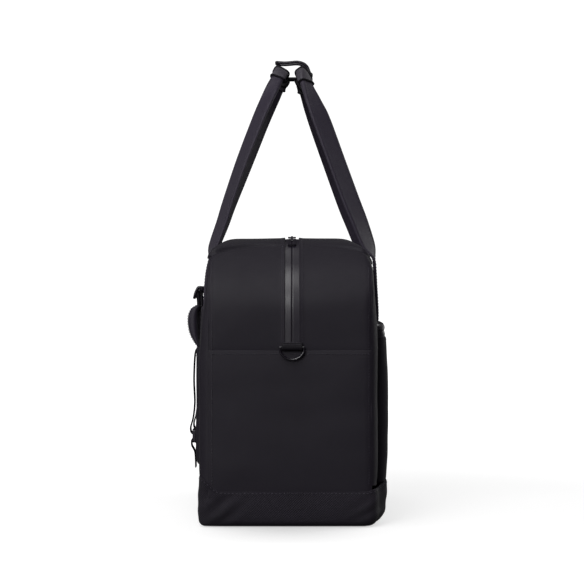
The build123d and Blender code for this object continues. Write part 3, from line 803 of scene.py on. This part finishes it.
FRONT_LEG = [
    (-115, -108.0, 203, -1, 0, 0, 30, 2.2),
    (-115, -107.4, 230, -1, 0, 0, 30, 2.4),
    (-115, -108.0, 256, -1, 0, 0, 30, 3.0),
    (-115, -107.2, 276, -1, 0, 0, 30, 3.2),
    (-115, -106.2, 292, -1, 0, 0, 30, 3.2),
    (-115, -105.3, 310, -1, 0, 0, 30, 3.2),
    (-115, -103.7, 328, -1, 0.08, 0, 30, 3.2),
    (-114, -97.2, 344, -1, 0.72, 0, 30, 3.4),
    (-112, -85.4, 376, -1, 1.05, 0, 30, 3.6),
    (-109, -74.8, 403, -1, 1.20, 0, 30, 3.6),
    (-100, -56, 455, -1, 1.25, 0, 30, 3.8),
    (-87, -37, 508, -1, 1.6, 0.25, 29, 4.2),
    (-80, -28, 530, -0.9, 1.5, 0.45, 26, 5.0),
    (-72, -20.5, 548.5, -0.55, 1.1, 0.75, 22, 6.8),
    (-62, -15.8, 562.2, -0.1, 0.7, 0.80, 18.5, 8.8),
    (-50, -15, 565.7, 0, 0.55, 0.83, 17, 9.5),
    (0, -15, 565.9, 0, 0.55, 0.83, 17, 9.5),
]
# the far leg mirrors it, but by height in mm its twist is scaled and it stands aside in mm
FAR_TWIST = {"back": ([344, 403, 470], [0.2, 0.5, 1]), "front": ([0], [1])}
FAR_ASIDE = {"back": ([312, 334, 350, 403, 470], [0, 3, 4, 1.5, 0]), "front": ([0], [0])}
UNITS = [0.001] * 3 + [1] * 3 + [0.001] * 2
SLEEVE_REACH = {"back": 0.0665, "front": 0.0685}
SLEEVE_THICK = 0.0019
BAND_X = 0.054


def squarish(power, count):
    """A rounded square section that reaches from -1 to 1 both ways."""
    around = np.linspace(0, 2 * math.pi, count, endpoint=False)
    c, s = np.cos(around), np.sin(around)
    return np.stack([np.sign(c) * np.abs(c) ** power, np.sign(s) * np.abs(s) ** power], -1)


def sleeve(name, strap, at, grow):
    """A tube round part of a strap, which is its line, two directions, width and thickness."""
    length = run_length(strap[0])
    line, across, upright, width, thick = [
        np.stack([np.interp(at, length, column) for column in values.T], -1) for values in strap]
    half = np.concatenate([width, thick], 1) / 2 + grow[:, None]
    return swept(name, line, across, upright, half[:, None] * squarish(0.62, 40))


def follow_handle(piece):
    """Bakes the placement of a handle's piece into its mesh."""
    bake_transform(piece)


for side_name, leg in (("back", BACK_LEG), ("front", FRONT_LEG)):
    twist, aside = FAR_TWIST[side_name], FAR_ASIDE[side_name]
    full = leg + [(-x, y + np.interp(z, *aside), z, -a, b * np.interp(z, *twist), c, w, t)
                  for x, y, z, a, b, c, w, t in reversed(leg[:-1])]
    data = curve_through(np.array(full) * UNITS, 260)
    line, width, thick = data[:, :3], data[:, 6:7], data[:, 7:8]
    along = unit(np.gradient(line, axis=0))
    across = unit(data[:, 3:6] - along * np.sum(data[:, 3:6] * along, 1, keepdims=True))
    upright = np.cross(across, along)
    sections = np.array([flat_section(w, t, 0.06) for w, t in data[:, 6:8]])
    piece = swept("handle_%s_strap" % side_name, line, across, upright, sections)
    dress(piece, "handle_fabric", None, ["handle_strap_" + side_name, "handle_patch_" + side_name])
    follow_handle(piece)
    sewn = Thread()
    for face in (-1, 1):
        for edge in (-1, 1):
            run = line + across * (edge * (width / 2 - 0.0034)) + upright * (face * (thick / 2 + 0.0002))
            for part in (line[:, 0] < -0.066, line[:, 0] > 0.066):
                sewn.row(run[part], upright[part] * face, 0.0038, 0.0027)
    piece = dress(sewn.piece("handle_%s_thread" % side_name), "handle_fabric", thread=True)
    follow_handle(piece)

    # grip sleeve, with a rim at each end and two bands round it
    strap = (line, across, upright, width, thick)
    length = run_length(line)
    lo = np.interp(-SLEEVE_REACH[side_name], line[:, 0], length)
    hi = length[-1] - lo
    at = np.concatenate([lo + 0.0012 * np.array([0, 0.1, 0.4, 1]), np.linspace(lo + 0.003, hi - 0.003, 70),
                         hi - 0.0012 * np.array([1, 0.4, 0.1, 0])])
    edge_in = np.minimum(at - lo, hi - at)
    grow = SLEEVE_THICK + 0.0005 * np.clip(edge_in / 0.02, 0, 1) - 0.0009 * np.exp(-edge_in / 0.0005)
    grow = grow + 0.00010 * np.sin(at * 900)
    dress(sleeve("handle_%s_grip" % side_name, strap, at, grow), "grip_wrap", "handle_" + side_name,
          ["handle_wrap_" + side_name])
    for name, places, wide, base, swell, count in (
            ("rim", (lo + 0.0008, hi - 0.0008), 0.0010, SLEEVE_THICK, 0.0008, 7),
            ("band", np.interp((-BAND_X, BAND_X), line[:, 0], length), 0.0020, 0.0022, 0.0021, 9)):
        for (end_name, _), middle in zip(ENDS, places):
            at = middle + np.linspace(-wide, wide, count)
            grow = base + swell * np.cos(np.linspace(-1, 1, count) * math.pi / 2)
            piece = sleeve("grip_%s_%s_%s" % (name, side_name, end_name), strap, at, grow)
            dress(piece, "webbing", "handle_" + side_name)

# ---- wire hook on the grips
def bent_wire(name, x, half, path_yz, bend, radius, body):
    """A closed wire with two equal sides in the bag's end view."""
    loop = [(x - half, a, b) for a, b in path_yz] + [(x + half, a, b) for a, b in reversed(path_yz)]
    dress(wire(name, rounded_loop(loop, bend), radius), "black_metal", body, [body])


GRIP_HOOK = [(-0.0242, 0.5713), (-0.0222, 0.5765), (-0.0205, 0.5812), (-0.0165, 0.5852), (-0.0110, 0.5874),
             (-0.0055, 0.5880), (0.0020, 0.5872), (0.0112, 0.5866), (0.0205, 0.5876)]
HOLDER = [(-0.0190, 0.5662), (-0.0225, 0.5679), (-0.0256, 0.5690), (-0.0267, 0.5713), (-0.0252, 0.5736),
          (-0.0212, 0.5737)]
bent_wire("hook_wire", 0, 0.014, GRIP_HOOK, 0.005, 0.0019, "handle_hook")
web("hook_loop", 0, HOLDER, 40, flat_section(0.023, 0.0016), "handle_front", ["hook_holder"])

# the keeper round the back grip, and the tongue from it
_, y, z, _, b, c, _, _ = BACK_LEG[-1]
wide = unit(np.array([0, b, c]))
at = np.array([-0.011, -0.0108, -0.0100, 0, 0.0100, 0.0108, 0.011])
size = np.array([0.9, 0.97, 1.0, 1.0, 1.0, 0.97, 0.9])
line = np.stack([at, np.full(7, y * 0.001), np.full(7, z * 0.001)], -1)
section = squarish(0.6, 48) * [0.0101, 0.0063] * size[:, None, None]
dress(swept("keeper_band", line, wide, np.cross(wide, X_AXIS), section), "webbing", "handle_back", ["handle_keeper"])
line = np.stack([np.zeros(14), np.linspace(0.0075, -0.0058, 14), np.full(14, 0.5662)], -1)
section = np.array([flat_section(w, 0.0045) for w in [0.018] * 12 + [0.018 * 0.97] * 2])
dress(swept("keeper_tongue", line, X_AXIS, Z_AXIS, section), "webbing", "handle_back")

# ---- front pocket
pocket_low, pocket_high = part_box("front_pocket")
POCKET_DEPTH = FRONT - pocket_low.y
POCKET_FOOT = BOOT_FRONT - 0.0025
ZIP_Z = 0.238
ROLL = 0.009  # width of a pocket's rounded edge


def off_edge(dx, dz, radius):
    """Distance in from two edges that meet in a round corner."""
    round_off = radius - np.hypot(radius - dx, radius - dz)
    return np.where((dx < radius) & (dz < radius), round_off, np.minimum(dx, dz))


def wall_patch(name, p, thick, side, slot, replaces=()):
    """Cloth over a grid that stands on the back wall (side 1) or the front wall (side -1)."""
    n = unit(np.cross(np.gradient(p, axis=0), np.gradient(p, axis=1)))
    n = np.where((n[..., 1] * side < 0)[..., None], -n, n)
    return dress(cloth(name, p, n, p[..., ::2], thick, side > 0), slot, "bag", replaces)


def pocket_point(x, z, dip=0.0):
    """A point of the pocket's face over the front wall."""
    corner = off_edge(np.minimum(x - pocket_low.x, pocket_high.x - x), pocket_high.z - z, 0.014)
    d = np.clip(corner / ROLL, 0, 1)
    stand = POCKET_DEPTH * np.sqrt(1 - (1 - d) ** 2)
    p = np.stack([x, np.full(x.shape, -0.1), z], -1)
    sway = 0.0012 * ripple(p, 0.1) + 0.0004 * ripple(p + 4.0, 0.03)
    belly = 0.0022 * np.sin(np.clip((z - POCKET_FOOT) / 0.18, 0, 1) * math.pi)
    belly = belly - 0.0012 * np.exp(-(z - POCKET_FOOT) / 0.004)
    return np.stack([x, FRONT - stand - d * (sway + belly - dip) + (1 - d) * 0.0012, z], -1)


def pocket_patch(name, z, thick, slot, replaces=(), dip=lambda z: 0 * z):
    xs, zs = np.meshgrid(samples(pocket_low.x, pocket_high.x, GRID), z)
    return wall_patch(name, pocket_point(xs, zs, dip(zs)), thick, -1, slot, replaces)


def film_dip(z):
    """How far the pocket zip's film lies below the pocket's face."""
    return 0.0020 - 0.0009 * np.sin(np.clip(np.abs(z - ZIP_Z) / 0.0088, 0, 1) * math.pi)


pocket_patch("pocket_panel", samples(POCKET_FOOT, ZIP_Z - 0.0080, GRID), 0.0022, "shell", ["front_pocket"])
pocket_patch("pocket_top", samples(ZIP_Z + 0.0080, pocket_high.z, 0.0015, 0.0008), 0.002, "shell")
for name, z0, z1, replaced in (("pocket_film_low", -0.0098, -0.0002, ["pocket_zip"]),
                               ("pocket_film_high", 0.0002, 0.0098, ())):
    pocket_patch(name, samples(ZIP_Z + z0, ZIP_Z + z1, 0.0009, 0.0004), FILM, "zip_film", replaced, film_dip)
x = np.linspace(pocket_low.x + 0.006, pocket_high.x - 0.006, 200)
p = pocket_point(x, np.full(200, ZIP_Z - 0.0112))
bag_thread.row(p - 0.0001 * Y_AXIS, [-Y_AXIS] * 200, 0.0038, 0.0028)

# ---- stow pocket on the back
stow_low, stow_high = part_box("stow_pocket")


def stow_point(x, z):
    """A point of the stow pocket's face over the back wall."""
    corner = off_edge(np.minimum(x - stow_low.x, stow_high.x - x), z - stow_low.z, 0.010)
    d = np.clip(corner / ROLL, 0, 1)
    p = np.stack([x, np.full(x.shape, 0.1), z], -1)
    stand = (stow_high.y - BACK) * np.sqrt(1 - (1 - d) ** 2) + d * (0.0006 * ripple(p, 0.06) + 0.0008)
    return np.stack([x, BACK - 0.0008 + stand, z], -1)


xs, zs = np.meshgrid(samples(stow_low.x, stow_high.x, 0.003), samples(stow_low.z, stow_high.z, 0.003))
wall_patch("stow_pocket_skin", stow_point(xs, zs), 0.0018, 1, "shell", ["stow_pocket"])
x = np.linspace(stow_low.x + 0.003, stow_high.x - 0.003, 80)
for drop in (0.003, 0.011):
    p = stow_point(x, np.full(80, stow_high.z - drop))
    bag_thread.row(p + 0.0002 * Y_AXIS, [Y_AXIS] * 80)

# ---- shoulder straps
PAD_OUTER = [(0.1214, 0.2130), (0.1262, 0.2195), (0.1304, 0.2265), (0.1335, 0.2350), (0.1350, 0.2460),
             (0.1344, 0.2550), (0.1306, 0.2635), (0.1230, 0.2685)]
PAD_INNER = [(0.1194, 0.2660), (0.1206, 0.2610), (0.1211, 0.2500), (0.1210, 0.2380), (0.1205, 0.2260),
             (0.1190, 0.2140)]
PAD_LOOP = [(0.1215, 0.2600), (0.1212, 0.2690), (0.1216, 0.2780), (0.1222, 0.2868)]
SLACK = [(0.1222, 0.2135), (0.1252, 0.2080), (0.1266, 0.196), (0.1274, 0.170), (0.1264, 0.142), (0.1284, 0.122),
         (0.1316, 0.110), (0.1310, 0.1034), (0.1280, 0.1012), (0.1246, 0.1012)]
ANCHOR = [(0.1060, 0.2965), (0.1092, 0.2930), (0.1140, 0.2908), (0.1180, 0.2895), (0.1190, 0.2868),
          (0.1172, 0.2843), (0.1135, 0.2838), (0.1095, 0.2815), (0.1068, 0.2775)]
STRAP_HOOK = [(0.116, 0.287), (0.1175, 0.2912), (0.1215, 0.2915), (0.1250, 0.2850), (0.1268, 0.2775)]
STRAP_FOOT = [(0.1249, 0.0575), (0.1252, 0.0660), (0.1262, 0.0780), (0.1300, 0.0860), (0.1303, 0.0925),
              (0.1285, 0.0950), (0.1262, 0.0950), (0.1243, 0.0930), (0.1240, 0.0860), (0.1243, 0.0780)]


def pillow(name, outline_yz, core_yz, mid, half):
    """A padded solid: an outline in the bag's end view, full across its width and rounded off at both faces."""
    ts = np.sin(np.linspace(-math.pi / 2, math.pi / 2, 31))
    verts, uvs = [], []
    for t in ts:
        k = 0.15 + 0.85 * (1 - abs(t) ** 5) ** 0.5
        for q, m in zip(outline_yz, core_yz):
            verts.append((mid + t * half, m[0] + (q[0] - m[0]) * k, m[1] + (q[1] - m[1]) * k))
            uvs.append((t * half, q[1]))
    count = len(outline_yz)
    last = (len(ts) - 1) * count
    faces = tube_faces(len(ts), count, True) + [range(count), range(last, last + count)[::-1]]
    return new_piece(name, verts, faces, uvs)


for end_name, end in ENDS:
    low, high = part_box("shoulder_pad_" + end_name)
    mid = (low.x + high.x) / 2
    front = curve_through(PAD_OUTER, 40)
    inner = curve_through(PAD_INNER, 40)
    profile = np.concatenate([front, inner])
    core = (profile + np.concatenate([inner[::-1], front[::-1]])) / 2
    pad = dress(pillow("pad_" + end_name, profile, core, mid, 0.027), "pad_fabric", "bag",
                ["shoulder_pad_" + end_name])
    z_out = np.linspace(0.152, 0.266, 30)
    lean = np.interp(z_out, [0.214, 0.268], [0, -0.0054])
    tongue = np.concatenate([np.stack([0.1200 + lean * 0.5, z_out], -1), np.stack([0.1140 + lean, z_out], -1)[::-1]])
    core = np.stack([np.tile((0.1165 + lean * 0.75), 2), tongue[:, 1]], -1)
    core[30:, 0] = core[29::-1, 0]
    back_pad = dress(pillow("pad_tongue_" + end_name, tongue, core, mid, 0.0265), "pad_fabric", "bag")
    for edge in (-1, 1):
        run = [(mid + edge * 0.0215, a + 0.0002, b) for a, b in front]
        bag_thread.row(run, [(0, 0.9, (b - 0.235) * 12) for a, b in front])

    # its loop, the slack webbing to the ladder lock, the anchor, the wire hook and the foot of the strap
    web("pad_loop_" + end_name, mid, PAD_LOOP, 30, flat_section(0.020, 0.0044), "bag")
    web("strap_web_" + end_name, mid, SLACK, 90, flat_section(0.025, 0.0014, 0.1), "bag",
        ["strap_webbing_" + end_name])
    web("anchor_" + end_name, mid, ANCHOR, 50, flat_section(0.022, 0.0015, 0.1), "bag",
        ["strap_anchor_" + end_name])
    bent_wire("strap_wire_" + end_name, mid, 0.013, STRAP_HOOK, 0.003, 0.0016, "strap_hook_" + end_name)
    web("strap_foot_web_" + end_name, mid, STRAP_FOOT, 70, flat_section(0.024, 0.0013, 0.1), "bag",
        ["strap_foot_" + end_name])

dress(bag_thread.piece("bag_thread"), "shell", "bag", thread=True)

# ---- lining
def lining_part(name, p, n, uv, flip=False, replaces=()):
    dress(cloth(name, p, n, uv, 0.0006, flip), "lining", "bag", replaces)


for end_name, end in ENDS:
    p, n, uv, _, _ = strip(samples(0.010, WALL + ARC * 0.9, 0.008),
                           samples(EDGE_FRONT + 0.001, EDGE_BACK - 0.001, 0.008), -LINING_IN)
    p, n = at_end(end, p + n * (0.0006 * ripple(p, 0.05))[..., None], n)
    lining_part("lining_end_" + end_name, p, n, uv, end > 0)
for side_name, side in SIDES:
    p, n, uv, _ = long_wall(side, -LINING_IN, 0.010)
    lining_part("lining_" + side_name, p + n * (0.0006 * ripple(p, 0.05))[..., None], n, uv, side > 0)
xs, ys = np.meshgrid(samples(-HALF + 0.008, HALF - 0.008, 0.008), samples(FRONT + 0.008, BACK - 0.008, 0.008))
p = np.stack([xs, ys, 0.0082 + 0.0004 * ripple(np.stack([xs, ys, 0 * xs], -1), 0.06)], -1)
lining_part("lining_floor", p, np.broadcast_to(Z_AXIS, p.shape), p[..., :2], replaces=["lining"])

# ---- carried-over hard parts
SLOT_OF = {s["node"]: s["material_slot"] for s in frame["record"]["subparts"]}
for name, node in frame["nodes"].items():
    node.data.materials.clear()
    node.data.materials.append(LOOKS[SLOT_OF[name]])
    if SLOT_OF[name] in ("black_metal", "buckle_plastic"):
        soften = node.modifiers.new("soft_edges", "BEVEL")
        soften.width = 0.0005
        soften.segments = 3
        soften.limit_method = "ANGLE"
        soften.angle_limit = math.radians(35)

# ---- stage, light, camera
FLOOR_REACH = 60.0
corners = [(a * FLOOR_REACH, b * FLOOR_REACH, 0) for a, b in ((-1, -1), (1, -1), (1, 1), (-1, 1))]
floor = new_piece("floor", corners, [(0, 1, 2, 3)], smooth=False)
paper = bpy.data.materials.new("paper")
paper.use_nodes = True
nodes, link = paper.node_tree.nodes, paper.node_tree.links.new
bright = nodes["Principled BSDF"]
tune(bright, {"Base Color": (0.42, 0.42, 0.42, 1), "Roughness": 0.9, "Specular IOR Level": 0.0,
              "Emission Color": (1, 1, 1, 1)})
# the paper glows a little brighter away from the bag: painted light, not light from the lamps
place = nodes.new("ShaderNodeTexCoord")
reach = nodes.new("ShaderNodeVectorMath")
reach.operation = "LENGTH"
fade = nodes.new("ShaderNodeMapRange")
fade.interpolation_type = "SMOOTHSTEP"
tune(fade, {"From Min": 0.45, "From Max": 1.5, "To Min": 0.80, "To Max": 1.20})
link(place.outputs["Object"], reach.inputs[0])
link(reach.outputs["Value"], fade.inputs["Value"])
# and darker by a painted contact shadow, from ambient occlusion seen along a direction that leans away from the bag
painted_contact_shadow = tune(nodes.new("ShaderNodeAmbientOcclusion"), {"Distance": 0.20})
painted_contact_shadow.samples = 8
place = nodes.new("ShaderNodeSeparateXYZ")
link(nodes.new("ShaderNodeNewGeometry").outputs["Position"], place.inputs[0])
aside = tune(nodes.new("ShaderNodeMapRange"), {"From Min": FRONT, "From Max": BACK, "To Min": -0.9, "To Max": 0.9})
link(place.outputs["Y"], aside.inputs["Value"])
lean = tune(nodes.new("ShaderNodeCombineXYZ"), {"X": 0.75, "Z": 0.35})
link(aside.outputs["Result"], lean.inputs["Y"])
link(lean.outputs[0], painted_contact_shadow.inputs["Normal"])
# painted contact shadow: the glow keeps between 0.35 and all of its strength
share = tune(nodes.new("ShaderNodeMapRange"), {"To Min": 0.35})
shadowed_glow = nodes.new("ShaderNodeMath")
shadowed_glow.operation = "MULTIPLY"
link(painted_contact_shadow.outputs["AO"], share.inputs["Value"])
link(fade.outputs["Result"], shadowed_glow.inputs[0])
link(share.outputs["Result"], shadowed_glow.inputs[1])
link(shadowed_glow.outputs[0], bright.inputs["Emission Strength"])
dull = tune(nodes.new("ShaderNodeBsdfDiffuse"), {"Color": (0.12, 0.12, 0.12, 1)})


def camera_sees(tree, unseen, seen, surface):
    """Shows the camera one shader and all other rays another."""
    rays = tree.nodes.new("ShaderNodeLightPath")
    mix = tree.nodes.new("ShaderNodeMixShader")
    sources = (rays.outputs["Is Camera Ray"], unseen.outputs[0], seen.outputs[0])
    for source, socket in zip(sources, mix.inputs):
        tree.links.new(source, socket)
    tree.links.new(mix.outputs[0], surface)


camera_sees(paper.node_tree, dull, bright, nodes["Material Output"].inputs["Surface"])
floor.data.materials.append(paper)

world = bpy.data.worlds.new("studio")
SCENE.world = world
world.use_nodes = True
nodes = world.node_tree.nodes
unseen = tune(nodes["Background"], {"Color": (1, 1, 1, 1), "Strength": 0.05})
seen = tune(nodes.new("ShaderNodeBackground"), {"Color": (1, 1, 1, 1), "Strength": 1.1})
camera_sees(world.node_tree, unseen, seen, nodes["World Output"].inputs["Surface"])


def softbox(name, at, aim, size, power):
    light = bpy.data.lights.new(name, "AREA")
    light.shape = "RECTANGLE"
    light.size, light.size_y = size
    light.energy = power
    lamp = bpy.data.objects.new(name, light)
    LINKS.objects.link(lamp)
    lamp.location = at
    lamp.rotation_euler = (Vector(aim) - Vector(at)).to_track_quat("-Z", "Y").to_euler()


softbox("key", (-1.5, 0.5, 2.5), (-0.1, 0, 0.3), (1.7, 1.3), 25)
softbox("left", (-0.7, 2.6, 1.5), (0, 0, 0.3), (1.4, 1.6), 15)
softbox("fill", (-3.1, 1.0, 1.4), (0, 0, 0.3), (1.3, 1.3), 38)
softbox("above", (0.6, 0.3, 2.9), (0, 0, 0.2), (1.0, 1.0), 4)
softbox("right", (1.6, -2.8, 1.1), (0, 0, 0.3), (1.8, 1.8), 24)

eye = bpy.data.cameras.new("camera")
eye.lens = 137.5
eye.sensor_width = 36.0
camera = bpy.data.objects.new("camera", eye)
LINKS.objects.link(camera)
camera.location = (-2.95, 0.0, 0.285)
camera.rotation_euler = (math.radians(90), 0, math.radians(-90))
SCENE.camera = camera
SCENE.view_settings.view_transform = "Standard"
